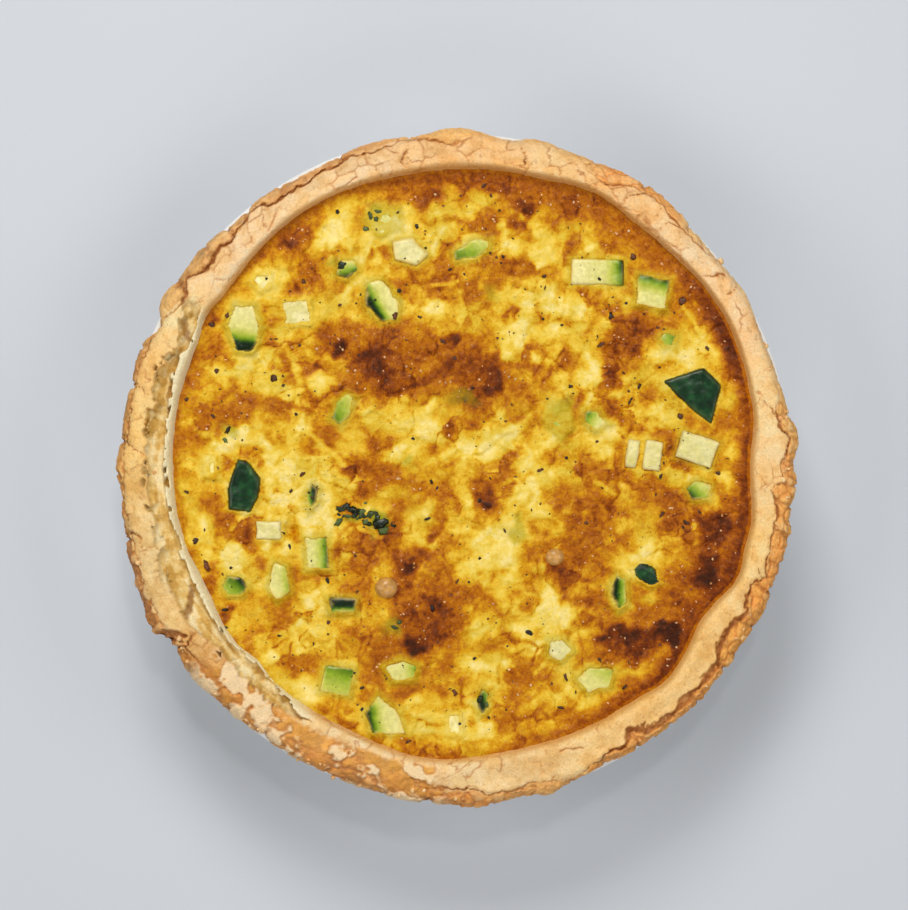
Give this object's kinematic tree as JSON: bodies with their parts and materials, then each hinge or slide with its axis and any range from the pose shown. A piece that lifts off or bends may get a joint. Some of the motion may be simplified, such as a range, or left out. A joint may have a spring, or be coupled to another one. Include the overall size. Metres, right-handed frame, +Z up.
{
  "type": "small quiche in its round baking dish",
  "caption": "Round courgette quiche with a cracked pastry rim and browned custard, baked in a plain white dish.",
  "frame": {"origin": "middle of the flat underside of the dish, on the surface it stands on", "axes": "+Z up through the middle of the dish, +Y towards the top of the picture, +X towards its right"},
  "size_m": [0.153, 0.1523, 0.0383],
  "materials": {
    "white_glaze": "smooth white glaze",
    "baked_pastry": "dry baked shortcrust, cream to orange-brown",
    "baked_custard": "moist baked egg custard, browned in patches",
    "courgette_flesh": "moist cooked courgette flesh",
    "courgette_green": "moist cooked courgette, green below the skin",
    "courgette_skin": "dark green cooked courgette skin"
  },
  "bodies": {
    "root": {"dish": "white_glaze", "pastry_case": "baked_pastry", "custard": "baked_custard", "courgette_01": "courgette_flesh", "courgette_02": "courgette_green", "courgette_03": "courgette_skin", "courgette_04": "courgette_flesh", "courgette_05": "courgette_flesh", "courgette_06": "courgette_flesh", "courgette_07": "courgette_flesh", "courgette_08": "courgette_green", "courgette_09": "courgette_green", "courgette_10": "courgette_flesh", "courgette_11": "courgette_flesh", "courgette_12": "courgette_green", "courgette_13": "courgette_skin", "courgette_14": "courgette_flesh", "courgette_15": "courgette_flesh", "courgette_16": "courgette_flesh", "courgette_17": "courgette_flesh", "courgette_18": "courgette_green", "courgette_19": "courgette_flesh", "courgette_20": "courgette_green", "courgette_21": "courgette_skin", "courgette_22": "courgette_flesh", "courgette_23": "courgette_skin", "courgette_24": "courgette_skin", "courgette_25": "courgette_flesh", "courgette_26": "courgette_flesh", "courgette_27": "courgette_green", "courgette_28": "courgette_flesh", "courgette_29": "courgette_skin", "courgette_30": "courgette_green", "courgette_31": "courgette_flesh", "courgette_32": "courgette_flesh", "courgette_33": "courgette_skin", "courgette_34": "courgette_flesh", "courgette_35": "courgette_flesh", "courgette_36": "courgette_flesh"}
  },
  "joints": []
}
